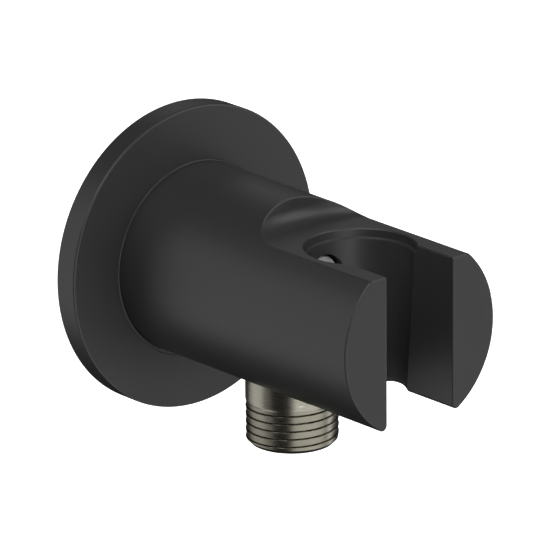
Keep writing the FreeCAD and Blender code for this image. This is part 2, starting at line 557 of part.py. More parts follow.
# Elbow
# A brass body that turns the water down. Its rear collar and its nose carry the arm,
# and the boss under the nose takes the outlet nipple.
def make_elbow_body():
    body = new_body("elbow_body")
    collar = CAVITY + " - Sizes.elbow_fit"
    collar_end = "-(Sizes.elbow_setback + Sizes.elbow_collar_width)"
    nose_start = "-(Sizes.elbow_reach - Sizes.elbow_nose_width)"
    profile = outline(body, "elbow_profile", "YZ_Plane", [
        ("-Sizes.elbow_setback", "0"),
        ("-Sizes.elbow_setback", collar),
        (collar_end, collar),
        (collar_end, ELBOW_WAIST),
        (nose_start, ELBOW_WAIST),
        (nose_start, ELBOW_NOSE),
        ("-Sizes.elbow_reach", ELBOW_NOSE),
        ("-Sizes.elbow_reach", "0")])
    turn_feature(body, "PartDesign::Revolution", "elbow_round", profile, "Y_Axis")

    boss = discs(body, "boss_circle", "XY_Plane", [("0", "-Sizes.outlet_offset", "Sizes.boss_dia / 2")],
                 lift="-" + BOSS_BOTTOM)
    straight_feature(body, "PartDesign::Pad", "outlet_boss", boss, BOSS_BOTTOM + " - Sizes.boss_roof")
    face = outline(body, "boss_face_plan", "XY_Plane", [
        ("-Sizes.boss_dia / 2", "-(Sizes.outlet_offset + Sizes.boss_face)"),
        ("Sizes.boss_dia / 2", "-(Sizes.outlet_offset + Sizes.boss_face)"),
        ("Sizes.boss_dia / 2", "-(Sizes.outlet_offset + Sizes.boss_dia)"),
        ("-Sizes.boss_dia / 2", "-(Sizes.outlet_offset + Sizes.boss_dia)")])
    straight_feature(body, "PartDesign::Pocket", "boss_face", face, BOSS_BOTTOM + " + 1")

    bore = outline(body, "spigot_bore_profile", "YZ_Plane", [
        ("-Sizes.elbow_setback + 1", "0"),
        ("-Sizes.elbow_setback + 1", "Sizes.spigot_dia / 2 + Sizes.spigot_fit"),
        ("-(%s + Sizes.spigot_room)" % SPIGOT_END, "Sizes.spigot_dia / 2 + Sizes.spigot_fit"),
        ("-(%s + Sizes.spigot_room)" % SPIGOT_END, "0")])
    turn_feature(body, "PartDesign::Groove", "spigot_bore", bore, "Y_Axis")
    level = discs(body, "waterway_circle", "XZ_Plane", [("0", "-Sizes.water_drop", "Sizes.water_dia / 2")],
                  lift=SPIGOT_END)
    straight_feature(body, "PartDesign::Pocket", "waterway", level,
                     "Sizes.outlet_offset + Sizes.water_dia / 2 - 1 - " + SPIGOT_END, True)
    riser = discs(body, "riser_circle", "XY_Plane", [("0", "-Sizes.outlet_offset", "Sizes.riser_dia / 2")],
                  lift="-(Sizes.boss_roof + Sizes.riser_cover)")
    straight_feature(body, "PartDesign::Pocket", "riser", riser, BOSS_BOTTOM)
    neck = discs(body, "neck_thread_circle", "XY_Plane",
                 [("0", "-Sizes.outlet_offset", "Sizes.neck_thread_dia / 2 + Sizes.thread_fit")],
                 lift="-(%s - Sizes.neck_thread_room)" % NECK_TOP)
    straight_feature(body, "PartDesign::Pocket", "neck_thread_bore", neck, BOSS_BOTTOM)

    tapped = discs(body, "fixing_thread_circle", "XZ_Plane",
                   [("0", cell("screw_height"), "Sizes.screw_dia / 2 + Sizes.thread_fit")],
                   lift=SCREW_SEAT + " - Sizes.screw_length - Sizes.tapped_extra")
    straight_feature(body, "PartDesign::Pocket", "fixing_thread", tapped, "Sizes.screw_length + 1", True)
    lock = discs(body, "lock_thread_circle", "XY_Plane",
                 [("0", "-" + LOCK_OFFSET, "Sizes.lock_dia / 2 + Sizes.thread_fit")])
    straight_feature(body, "PartDesign::Pocket", "lock_thread", lock, ARM_ROOT)
    return body


# Fixing screw: a low round head with a hexagon socket, screwed into the elbow's nose.
def make_fixing_screw():
    body = new_body("fixing_screw", lift_z=cell("screw_height"))
    head = SCREW_SEAT + " + Sizes.screw_head_depth"
    profile = outline(body, "screw_profile", "YZ_Plane", [
        ("-(%s)" % head, "0"),
        ("-(%s)" % head, "Sizes.screw_head_dia / 2 - Sizes.edge_round"),
        ("-(%s - Sizes.edge_round)" % head, "Sizes.screw_head_dia / 2"),
        ("-" + SCREW_SEAT, "Sizes.screw_head_dia / 2"),
        ("-" + SCREW_SEAT, "Sizes.screw_dia / 2"),
        ("-(%s - Sizes.screw_length)" % SCREW_SEAT, "Sizes.screw_dia / 2"),
        ("-(%s - Sizes.screw_length)" % SCREW_SEAT, "0")])
    turn_feature(body, "PartDesign::Revolution", "screw", profile, "Y_Axis")
    key = hexagon(body, "screw_hex_outline", "XZ_Plane", "0", "0", cell("screw_hex"),
                  lift=head + " - Sizes.screw_hex_depth")
    straight_feature(body, "PartDesign::Pocket", "screw_hex", key, "Sizes.screw_hex_depth + 1", True)
    return body


# Lock screw: a headless screw with a cone point that enters the wall nipple's groove.
def make_lock_screw():
    body = new_body("lock_screw", lift_y="-" + LOCK_OFFSET)
    tail = "-(%s - Sizes.elbow_fit - Sizes.lock_recess)" % CAVITY
    tip = "-(Sizes.spigot_dia / 2 - Sizes.lock_groove + Sizes.lock_point + Sizes.thread_fit)"
    shoulder = "%s - (Sizes.lock_dia / 2 - Sizes.lock_point)" % tip
    profile = outline(body, "lock_profile", "YZ_Plane", [
        ("0", tail),
        ("Sizes.lock_dia / 2", tail),
        ("Sizes.lock_dia / 2", shoulder),
        (cell("lock_point"), tip),
        ("0", tip)])
    turn_feature(body, "PartDesign::Revolution", "lock_screw_round", profile, "Z_Axis")
    key = hexagon(body, "lock_hex_outline", "XY_Plane", "0", "0", cell("lock_hex"),
                  lift=tail + " + Sizes.lock_hex_depth")
    straight_feature(body, "PartDesign::Pocket", "lock_hex", key, "Sizes.lock_hex_depth + 1")
    return body


# Hose outlet nipple
# Turned in one piece: a short thread into the elbow's boss, a plain neck, a run-out
# groove, and the hose thread, drawn at its outer diameter.
def make_outlet_nipple():
    body = new_body("outlet_nipple", lift_y="-Sizes.outlet_offset")
    outer = "Sizes.outlet_dia / 2"
    runout_low = "-(%s - Sizes.hose_thread)" % OUTLET_END
    runout_top = runout_low + " + Sizes.runout_width"
    groove_top = "-(%s - Sizes.ring_offset - Sizes.ring_wire / 2 - Sizes.thread_fit)" % OUTLET_END
    groove_low = "-(%s - Sizes.ring_offset + Sizes.ring_wire / 2 + Sizes.thread_fit)" % OUTLET_END
    bore = "Sizes.valve_bore_dia / 2"
    profile = outline(body, "nipple_profile", "XZ_Plane", [
        ("Sizes.neck_bore_dia / 2", "-" + NECK_TOP),
        ("Sizes.neck_thread_dia / 2", "-" + NECK_TOP),
        ("Sizes.neck_thread_dia / 2", "-" + NECK_SHOULDER),
        (outer, "-" + NECK_SHOULDER),
        (outer, runout_top),
        (outer + " - Sizes.runout_depth", runout_top),
        (outer + " - Sizes.runout_depth", runout_low),
        (outer, runout_low),
        (outer, "-(%s - Sizes.outlet_chamfer)" % OUTLET_END),
        (outer + " - Sizes.outlet_chamfer", "-" + OUTLET_END),
        (bore, "-" + OUTLET_END),
        (bore, groove_low),
        (bore + " + Sizes.ring_groove", groove_low),
        (bore + " + Sizes.ring_groove", groove_top),
        (bore, groove_top),
        (bore, "-" + VALVE_ROOF),
        ("Sizes.neck_bore_dia / 2", "-" + VALVE_ROOF)])
    turn_feature(body, "PartDesign::Revolution", "nipple", profile, "Z_Axis")
    return body


# Fibre washer between the elbow's boss and the shoulder of the outlet nipple.
def make_outlet_washer():
    body = new_body("outlet_washer", lift_y="-Sizes.outlet_offset")
    inner = "Sizes.neck_thread_dia / 2 + Sizes.thread_fit"
    outer = "Sizes.boss_face"
    profile = outline(body, "washer_profile", "XZ_Plane", [
        (inner, "-" + BOSS_BOTTOM),
        (outer, "-" + BOSS_BOTTOM),
        (outer, "-" + NECK_SHOULDER),
        (inner, "-" + NECK_SHOULDER)])
    turn_feature(body, "PartDesign::Revolution", "washer", profile, "Z_Axis")
    return body


# Non-return valve: a sealed cartridge, a moulded tube with a disc on a spoked stem.
def make_check_valve():
    body = new_body("check_valve", lift_y="-Sizes.outlet_offset")
    outer = "(Sizes.valve_bore_dia / 2 - Sizes.valve_fit)"
    inner = "(%s - Sizes.valve_wall)" % outer
    top = "-" + VALVE_TOP
    groove_floor = "Sizes.valve_bore_dia / 2 - Sizes.valve_seal_section"
    groove_top = "%s - Sizes.valve_seal_depth + Sizes.valve_seal_section / 2 + 0.15" % top
    groove_low = "%s - Sizes.valve_seal_depth - Sizes.valve_seal_section / 2 - 0.15" % top
    tube = outline(body, "valve_tube_profile", "XZ_Plane", [
        (inner, top),
        (outer, top),
        (outer, groove_top),
        (groove_floor, groove_top),
        (groove_floor, groove_low),
        (outer, groove_low),
        (outer, "-" + VALVE_BOTTOM),
        (inner, "-" + VALVE_BOTTOM)])
    turn_feature(body, "PartDesign::Revolution", "valve_tube", tube, "Z_Axis")
    spokes = outline(body, "valve_spoke_plan", "XY_Plane", [
        ("-Sizes.valve_spoke / 2", "-(%s + Sizes.valve_wall / 2)" % inner),
        ("Sizes.valve_spoke / 2", "-(%s + Sizes.valve_wall / 2)" % inner),
        ("Sizes.valve_spoke / 2", "(%s + Sizes.valve_wall / 2)" % inner),
        ("-Sizes.valve_spoke / 2", "(%s + Sizes.valve_wall / 2)" % inner)],
        lift="-" + VALVE_BOTTOM)
    first = straight_feature(body, "PartDesign::Pad", "valve_spoke", spokes, cell("valve_spoke_height"))
    pattern = body.newObject("PartDesign::PolarPattern", "valve_spokes")
    pattern.Originals = [first]
    pattern.Axis = (origin_item(body, "Z_Axis"), [""])
    pattern.Angle = 180
    pattern.Occurrences = 2
    pattern.setExpression("Angle", "90")
    body.Tip = pattern
    doc.recompute()
    disc_low = "%s - Sizes.valve_disc_depth - Sizes.valve_disc_thick" % top
    stem = outline(body, "valve_stem_profile", "XZ_Plane", [
        ("0", "-" + VALVE_BOTTOM),
        ("Sizes.valve_stem_dia / 2", "-" + VALVE_BOTTOM),
        ("Sizes.valve_stem_dia / 2", disc_low),
        ("Sizes.valve_disc_dia / 2", disc_low),
        ("Sizes.valve_disc_dia / 2", "%s - Sizes.valve_disc_depth" % top),
        ("0", "%s - Sizes.valve_disc_depth + Sizes.valve_disc_thick" % top)])
    turn_feature(body, "PartDesign::Revolution", "valve_disc", stem, "Z_Axis")
    return body


# Open ring of square wire that keeps the valve in the outlet.
def make_retaining_ring():
    body = new_body("valve_retaining_ring", lift_y="-Sizes.outlet_offset")
    outer = "Sizes.valve_bore_dia / 2 + Sizes.ring_groove - Sizes.thread_fit"
    top = "-(%s - Sizes.ring_offset - Sizes.ring_wire / 2)" % OUTLET_END
    wire = outline(body, "wire_section", "XZ_Plane", [
        (outer, top), (outer, top + " - Sizes.ring_wire"),
        (outer + " - Sizes.ring_wire", top + " - Sizes.ring_wire"), (outer + " - Sizes.ring_wire", top)])
    ring = turn_feature(body, "PartDesign::Revolution", "wire_ring", wire, "Z_Axis")
    ring.setExpression("Angle", "360 - Sizes.ring_gap_angle")
    doc.recompute()
    return body


# Wall nipple
# It screws into the fitting in the wall. The elbow's bore slides over its spigot,
# sealed by two rings, and a hexagon socket in its front end takes the key.
def make_wall_nipple():
    body = new_body("wall_nipple")
    outer = "Sizes.inlet_dia / 2"
    spigot = "Sizes.spigot_dia / 2"
    bore = "Sizes.nipple_bore_dia / 2"
    floor = "Sizes.spigot_dia / 2 + Sizes.spigot_fit - Sizes.spigot_seal_section"
    half = "(Sizes.spigot_seal_section / 2 + 0.3)"
    seat = "Sizes.strainer_dia / 2 + Sizes.strainer_fit"
    profile = outline(body, "nipple_profile", "YZ_Plane", [
        (cell("inlet_reach"), seat),
        (cell("inlet_reach"), outer + " - Sizes.inlet_chamfer"),
        ("Sizes.inlet_reach - Sizes.inlet_chamfer", outer),
        ("0", outer),
        ("0", "Sizes.nipple_collar_dia / 2"),
        ("-Sizes.nipple_collar_thick", "Sizes.nipple_collar_dia / 2"),
        ("-Sizes.nipple_collar_thick", spigot),
        ("-(%s - Sizes.lock_groove)" % LOCK_OFFSET, spigot),
        ("-" + LOCK_OFFSET, spigot + " - Sizes.lock_groove"),
        ("-(%s + Sizes.lock_groove)" % LOCK_OFFSET, spigot),
        ("-(Sizes.rear_seal_offset - %s)" % half, spigot),
        ("-(Sizes.rear_seal_offset - %s)" % half, floor),
        ("-(Sizes.rear_seal_offset + %s)" % half, floor),
        ("-(Sizes.rear_seal_offset + %s)" % half, spigot),
        ("-(Sizes.front_seal_offset - %s)" % half, spigot),
        ("-(Sizes.front_seal_offset - %s)" % half, floor),
        ("-(Sizes.front_seal_offset + %s)" % half, floor),
        ("-(Sizes.front_seal_offset + %s)" % half, spigot),
        ("-" + SPIGOT_END, spigot),
        ("-" + SPIGOT_END, bore),
        ("Sizes.inlet_reach - Sizes.strainer_thick", bore),
        ("Sizes.inlet_reach - Sizes.strainer_thick", seat)])
    turn_feature(body, "PartDesign::Revolution", "nipple", profile, "Y_Axis")
    key = hexagon(body, "nipple_hex_outline", "XZ_Plane", "0", "0", cell("nipple_hex"),
                  lift=SPIGOT_END + " - Sizes.nipple_hex_depth")
    straight_feature(body, "PartDesign::Pocket", "nipple_hex", key, "Sizes.nipple_hex_depth + 1", True)
    return body


# Strainer disc at the mouth of the wall nipple, with a hole in the middle and a ring of holes.
def make_inlet_strainer():
    body = new_body("inlet_strainer", lift_y=cell("inlet_reach"))
    disc = discs(body, "strainer_circle", "XZ_Plane", [("0", "0", "Sizes.strainer_dia / 2")])
    straight_feature(body, "PartDesign::Pad", "strainer_disc", disc, cell("strainer_thick"))
    middle = discs(body, "strainer_middle_hole", "XZ_Plane", [("0", "0", "Sizes.strainer_hole_dia / 2")])
    straight_feature(body, "PartDesign::Pocket", "strainer_middle", middle, cell("strainer_thick"), True)
    hole = discs(body, "strainer_outer_hole", "XZ_Plane",
                 [("0", cell("strainer_pitch"), "Sizes.strainer_hole_dia / 2")])
    first = straight_feature(body, "PartDesign::Pocket", "strainer_first", hole, cell("strainer_thick"), True)
    ring = body.newObject("PartDesign::PolarPattern", "strainer_ring")
    ring.Originals = [first]
    ring.Axis = (origin_item(body, "Y_Axis"), [""])
    ring.Angle = 360
    ring.Occurrences = 8
    body.Tip = ring
    doc.recompute()
    return body


SPIGOT_SEAT = "Sizes.spigot_dia / 2 + Sizes.spigot_fit"
VALVE_SEAT = "Sizes.valve_bore_dia / 2"

pieces = [
    make_holder_body(),
    make_wall_flange(),
    make_flange_gasket(),
    make_ring("flange_grip_ring", SEAL_FLOOR, FLANGE_HOLE, cell("seal_section"), False, "-Sizes.seal_offset"),
    make_slot_cover(),
    make_elbow_body(),
    make_fixing_screw(),
    make_lock_screw(),
    make_outlet_nipple(),
    make_outlet_washer(),
    make_check_valve(),
    make_ring("valve_seal", VALVE_SEAT + " - Sizes.valve_seal_section", VALVE_SEAT,
              cell("valve_seal_section"), True,
              "-(%s + Sizes.valve_seal_depth)" % VALVE_TOP),
    make_retaining_ring(),
    make_wall_nipple(),
    make_ring("nipple_rear_seal", SPIGOT_SEAT + " - Sizes.spigot_seal_section", SPIGOT_SEAT,
              cell("spigot_seal_section"), False, "-Sizes.rear_seal_offset"),
    make_ring("nipple_front_seal", SPIGOT_SEAT + " - Sizes.spigot_seal_section", SPIGOT_SEAT,
              cell("spigot_seal_section"), False, "-Sizes.front_seal_offset"),
    make_inlet_strainer(),
]
doc.recompute()

# Every feature has to be sound, and every cut has to take material away.
for item in doc.Objects:
    if "Invalid" in item.State or "Error" in item.State:
        raise RuntimeError("%s failed: %s" % (item.Name, item.State))
    if item.TypeId in ("PartDesign::Pocket", "PartDesign::Groove"):
        if item.Shape.Volume > item.BaseFeature.Shape.Volume - 0.01:
            raise RuntimeError(item.Name + " cut nothing")
    if item.TypeId in ("PartDesign::Pad", "PartDesign::Revolution") and item.BaseFeature:
        if item.Shape.Volume < item.BaseFeature.Shape.Volume + 0.01:
            raise RuntimeError(item.Name + " added nothing")

for piece in pieces:
    shape = piece.Shape
    if shape.isNull() or not shape.isValid() or len(shape.Solids) != 1:
        raise RuntimeError(piece.Label + " is not one sound solid")
    shape.exportStep("parts/%s.step" % piece.Label)
    print("%-22s %9.1f mm3 %4d faces" % (piece.Label, shape.Volume, len(shape.Faces)))
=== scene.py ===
import math

import bpy
import numpy as np
from mathutils import Matrix, Vector


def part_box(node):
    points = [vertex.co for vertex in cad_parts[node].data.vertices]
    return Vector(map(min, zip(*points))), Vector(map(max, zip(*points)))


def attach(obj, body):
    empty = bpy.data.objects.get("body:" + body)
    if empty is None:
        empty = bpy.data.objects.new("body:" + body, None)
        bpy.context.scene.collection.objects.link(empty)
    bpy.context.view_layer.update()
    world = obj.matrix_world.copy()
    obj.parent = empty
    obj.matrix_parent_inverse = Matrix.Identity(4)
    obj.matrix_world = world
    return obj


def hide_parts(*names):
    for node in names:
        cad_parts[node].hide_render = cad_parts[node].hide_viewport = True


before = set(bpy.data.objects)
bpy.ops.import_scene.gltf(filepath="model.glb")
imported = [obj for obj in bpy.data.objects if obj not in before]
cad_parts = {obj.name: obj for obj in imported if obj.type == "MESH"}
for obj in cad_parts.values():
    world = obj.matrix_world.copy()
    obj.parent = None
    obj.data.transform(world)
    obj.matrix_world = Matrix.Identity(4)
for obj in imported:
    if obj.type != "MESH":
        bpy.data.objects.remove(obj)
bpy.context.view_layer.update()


# Black coating: the arm and the wall flange are cast zinc under a matte black powder
# coat. The coat is sprayed on and baked, so it is finely pebbled and a touch uneven in
# shade and gloss.

MM = 0.001
BLACK_DARK = (0.0275, 0.0277, 0.0280)
BLACK_LIGHT = (0.0325, 0.0327, 0.0330)
BUMP_MM = 0.02


def add_node(tree, kind, place, **settings):
    """Adds one shader node at a place in the tree and sets the named settings on it."""
    node = tree.nodes.new(kind)
    node.location = place
    for name, value in settings.items():
        setattr(node, name, value)
    return node


def feed(tree, value, socket):
    """Links another node's output to a socket, or sets a plain value on it."""
    if isinstance(value, bpy.types.NodeSocket):
        tree.links.new(value, socket)
    else:
        socket.default_value = value


def maths(tree, operation, place, *values):
    """One operation of arithmetic on other nodes' outputs and plain numbers."""
    node = add_node(tree, "ShaderNodeMath", place, operation=operation)
    for value, socket in zip(values, node.inputs):
        feed(tree, value, socket)
    return node.outputs[0]


def span(tree, value, low, high, place):
    """Maps a 0..1 value linearly onto low..high."""
    node = add_node(tree, "ShaderNodeMapRange", place)
    node.inputs["To Min"].default_value = low
    node.inputs["To Max"].default_value = high
    tree.links.new(value, node.inputs["Value"])
    return node.outputs[0]


def blend(tree, share, first, second, place, how="MIX"):
    """Mixes two colours, or multiplies the first by the second, as far as a share of 0..1 says."""
    node = add_node(tree, "ShaderNodeMix", place, data_type="RGBA", blend_type=how)
    for value, number in ((share, 0), (first, 6), (second, 7)):
        feed(tree, value, node.inputs[number])
    return node.outputs[2]


def noise(tree, where, scale, detail, place):
    """A noise of 0..1 in space, with its number of waves per metre."""
    node = add_node(tree, "ShaderNodeTexNoise", place)
    node.inputs["Detail"].default_value = detail
    feed(tree, where, node.inputs["Vector"])
    feed(tree, scale, node.inputs["Scale"])
    return node.outputs[0]


def bump(tree, height, strength, place):
    """A normal tilted by a height of 0..1 that stands for two hundredths of a millimetre."""
    node = add_node(tree, "ShaderNodeBump", place)
    node.inputs["Distance"].default_value = BUMP_MM * MM
    tree.links.new(strength, node.inputs["Strength"])
    tree.links.new(height, node.inputs["Height"])
    return node.outputs[0]


def start_group(name, inputs, outputs):
    """An empty shader group with named inputs (name, kind, default) and outputs (name, kind)."""
    tree = bpy.data.node_groups.new(name, "ShaderNodeTree")
    for label, kind, default in inputs:
        socket = tree.interface.new_socket(label, in_out="INPUT", socket_type=kind)
        socket.default_value = default
    for label, kind in outputs:
        tree.interface.new_socket(label, in_out="OUTPUT", socket_type=kind)
    given = add_node(tree, "NodeGroupInput", (-900, 0))
    result = add_node(tree, "NodeGroupOutput", (700, 0))
    return tree, given.outputs, result.inputs


def build_pebble_group():
    """Fine pebbled skin in object space: a fine noise for the height, and a slow noise for what
    changes little by little over the surface."""
    tree, given, result = start_group(
        "pebbled_skin",
        [("Grain mm", "NodeSocketFloat", 0.3), ("Drift mm", "NodeSocketFloat", 12.0),
         ("Relief", "NodeSocketFloat", 0.5)],
        [("Normal", "NodeSocketVector"), ("Speck", "NodeSocketFloat"), ("Drift", "NodeSocketFloat")])
    where = add_node(tree, "ShaderNodeTexCoord", (-900, 300)).outputs["Object"]
    fine = maths(tree, "DIVIDE", (-700, 0), 1.0 / MM, given["Grain mm"])
    slow = maths(tree, "DIVIDE", (-700, -150), 1.0 / MM, given["Drift mm"])
    grain = noise(tree, where, fine, detail=3.0, place=(-450, 250))
    drift = noise(tree, where, slow, detail=2.0, place=(-450, -100))
    tree.links.new(bump(tree, grain, given["Relief"], (200, 250)), result["Normal"])
    tree.links.new(grain, result["Speck"])
    tree.links.new(drift, result["Drift"])
    return tree


pebbled_skin = build_pebble_group()


def principled(material):
    """The Principled shader of a material."""
    return next(node for node in material.node_tree.nodes if node.type == "BSDF_PRINCIPLED")


def start_material(name):
    """A material with its Principled shader and output."""
    material = bpy.data.materials.new(name)
    material.use_nodes = True
    return material


def pebbled_material(name, shades, shade_by, gloss, spread, gloss_by, grain_mm, drift_mm, relief):
    """A pebbled surface. One output of the skin group picks the shade between two colours, and
    another moves the roughness by the spread to either side of its middle value."""
    material = start_material(name)
    tree = material.node_tree
    shader = principled(material)
    skin = add_node(tree, "ShaderNodeGroup", (-600, 0), node_tree=pebbled_skin)
    skin.inputs["Grain mm"].default_value = grain_mm
    skin.inputs["Drift mm"].default_value = drift_mm
    skin.inputs["Relief"].default_value = relief
    dark, light = shades
    shade = blend(tree, skin.outputs[shade_by], (*dark, 1.0), (*light, 1.0), (-300, 200))
    rough = span(tree, skin.outputs[gloss_by], gloss - spread, gloss + spread, (-300, -50))
    tree.links.new(skin.outputs["Normal"], shader.inputs["Normal"])
    tree.links.new(shade, shader.inputs["Base Color"])
    tree.links.new(rough, shader.inputs["Roughness"])
    return material


def coated_metal(name, dark, light, gloss, grain_mm, relief):
    """A baked or moulded black surface: the shade drifts slowly and the gloss follows the pebbles."""
    return pebbled_material(name, (dark, light), "Drift", gloss, 0.05, "Speck", grain_mm, 14.0, relief)


def finish_node(name, material):
    """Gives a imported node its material, in place of the plain one that it was packed with."""
    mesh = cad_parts[name].data
    mesh.materials.clear()
    mesh.materials.append(material)


black_coat = coated_metal("black_powder_coat", BLACK_DARK, BLACK_LIGHT,
                          gloss=0.42, grain_mm=0.28, relief=0.30)
finish_node("holder_body", black_coat)
finish_node("wall_flange", black_coat)


# Lip of the flange's hole: the coat runs together into a thin round bead where the flange meets
# the arm, and the bead's colour is lighter there as a painted highlight along the hole's edge. At the slot
# cover's key, which fills the hole below, the bead turns outward and closes the slits beside the key.

scene = bpy.context.scene

LIP_RADIUS = 22.37
LIP_BEAD = 0.165
LIP_MIDDLE_Y = -5.72
LIP_FROM = -57.75
LIP_TO = 237.75
KEY_RADIUS = 23.1


def put_mesh(name, points, faces, material, smooth_degrees):
    """Makes a mesh object from points in metres, smooth except over edges sharper than an angle."""
    mesh = bpy.data.meshes.new(name)
    mesh.from_pydata(points.tolist(), [], faces)
    mesh.validate()
    mesh.materials.append(material)
    mesh.shade_smooth()
    mesh.set_sharp_from_angle(angle=math.radians(smooth_degrees))
    piece = bpy.data.objects.new(name, mesh)
    scene.collection.objects.link(piece)
    return piece


def make_lip(sides, steps, end_steps):
    """A round bead about the arm's axis: a circle carried along an arc between two angles in
    degrees and, at each end, straight outward to the key's radius, with a flat cap at both ends."""
    outward = np.linspace(KEY_RADIUS, LIP_RADIUS, end_steps + 1)[:-1]
    radius = np.concatenate([outward, np.full(steps, LIP_RADIUS), outward[::-1]])
    turn = np.radians(np.concatenate(
        [np.full(end_steps, LIP_FROM), np.linspace(LIP_FROM, LIP_TO, steps), np.full(end_steps, LIP_TO)]))
    path = np.stack([radius * np.cos(turn), radius * np.sin(turn)], axis=-1)
    heading = np.gradient(path, axis=0)
    heading /= np.linalg.norm(heading, axis=1)[:, None]
    around = np.linspace(0.0, 2.0 * math.pi, sides, endpoint=False)[None, :]
    aside = LIP_BEAD * np.cos(around)
    right = path[:, :1] + heading[:, 1:] * aside
    upward = path[:, 1:] - heading[:, :1] * aside
    forward = np.broadcast_to(LIP_MIDDLE_Y + LIP_BEAD * np.sin(around), right.shape)
    points = np.stack([right, forward, upward], axis=-1).reshape(-1, 3)
    index = np.arange(right.size).reshape(-1, sides)
    beside = np.roll(index, -1, axis=1)
    faces = np.stack([index[:-1], beside[:-1], beside[1:], index[1:]], axis=-1).reshape(-1, 4).tolist()
    faces += [index[0][::-1].tolist(), index[-1].tolist()]
    return put_mesh("flange_lip", points * MM, faces, painted_highlight_coat, smooth_degrees=50)


# The bead's coat is lighter than the black coat: a painted highlight along the hole's edge.
painted_highlight_coat = coated_metal("painted_highlight_coat", (0.060, 0.060, 0.061), (0.085, 0.085, 0.086),
                         gloss=0.30, grain_mm=0.28, relief=0.15)
flange_lip = make_lip(sides=14, steps=320, end_steps=5)
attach(flange_lip, "root")


# Slot cover: a moulded black strip under the arm. It is the same black as the coat but
# slightly smoother, as it comes from a polished mould.

black_moulding = coated_metal("black_moulding", BLACK_DARK, BLACK_LIGHT,
                              gloss=0.40, grain_mm=0.45, relief=0.18)
finish_node("slot_cover", black_moulding)


# Hose outlet: a brass nipple turned on a lathe and nickel plated. Its shank keeps the fine
# rings of the turning tool, and the hose thread is a right-hand pipe thread with broad crests
# that lean down to narrow grooves.

PIPE_MAJOR = 20.955 / 2
PIPE_PITCH = 1.814
PIPE_DEPTH = 0.56
GROOVE_SHARE = 1.0 / 6.0
CREST_TOP = 0.9
THREAD_RAMP = 0.5
FLANK_FADE = 0.03
ROUND = 256
THREAD_STEP = 0.07
PLAIN_STEP = 0.6
STAIN_MM = 4.0
MARK_SQUEEZE = 0.06


def build_tool_mark_group():
    """Marks left by a turning tool: noise drawn out round the axis of turning, so that it changes
    quickly along the axis and slowly round it, and a slow stain that moves the shade."""
    tree, given, result = start_group(
        "tool_marks",
        [("Squeeze", "NodeSocketVector", (1.0, 1.0, 1.0)), ("Mark mm", "NodeSocketFloat", 0.25),
         ("Relief", "NodeSocketFloat", 0.3)],
        [("Normal", "NodeSocketVector"), ("Marks", "NodeSocketFloat"), ("Stain", "NodeSocketFloat")])
    where = add_node(tree, "ShaderNodeTexCoord", (-900, 300)).outputs["Object"]
    squeezed = add_node(tree, "ShaderNodeVectorMath", (-650, 200), operation="MULTIPLY")
    tree.links.new(where, squeezed.inputs[0])
    tree.links.new(given["Squeeze"], squeezed.inputs[1])
    fine = maths(tree, "DIVIDE", (-650, -50), 1.0 / MM, given["Mark mm"])
    marks = noise(tree, squeezed.outputs[0], fine, detail=4.0, place=(-400, 150))
    stain = noise(tree, where, 1.0 / (STAIN_MM * MM), detail=4.0, place=(-400, -250))
    tree.links.new(bump(tree, marks, given["Relief"], (100, 150)), result["Normal"])
    tree.links.new(marks, result["Marks"])
    tree.links.new(stain, result["Stain"])
    return tree


tool_marks = build_tool_mark_group()


def turned_metal(name, dark, light, gloss, spread, axis, mark_mm, relief):
    """Bare or plated metal off a lathe whose axis is one of the object's axes (0, 1 or 2). The tool's
    marks move its shade a little and its roughness by the spread to either side."""
    material = start_material(name)
    tree = material.node_tree
    shader = principled(material)
    skin = add_node(tree, "ShaderNodeGroup", (-750, 0), node_tree=tool_marks)
    skin.inputs["Squeeze"].default_value = [1.0 if side == axis else MARK_SQUEEZE for side in range(3)]
    skin.inputs["Mark mm"].default_value = mark_mm
    skin.inputs["Relief"].default_value = relief
    stained = blend(tree, skin.outputs["Stain"], (*dark, 1.0), (*light, 1.0), (-400, 250))
    streaks = span(tree, skin.outputs["Marks"], 0.2, 1.3, (-400, 50))
    shade = blend(tree, 0.35, stained, streaks, (-150, 250), how="MULTIPLY")
    rough = span(tree, skin.outputs["Marks"], gloss - spread, gloss + spread, (-400, -150))
    tree.links.new(skin.outputs["Normal"], shader.inputs["Normal"])
    tree.links.new(shade, shader.inputs["Base Color"])
    tree.links.new(rough, shader.inputs["Roughness"])
    shader.inputs["Metallic"].default_value = 1.0
    return material


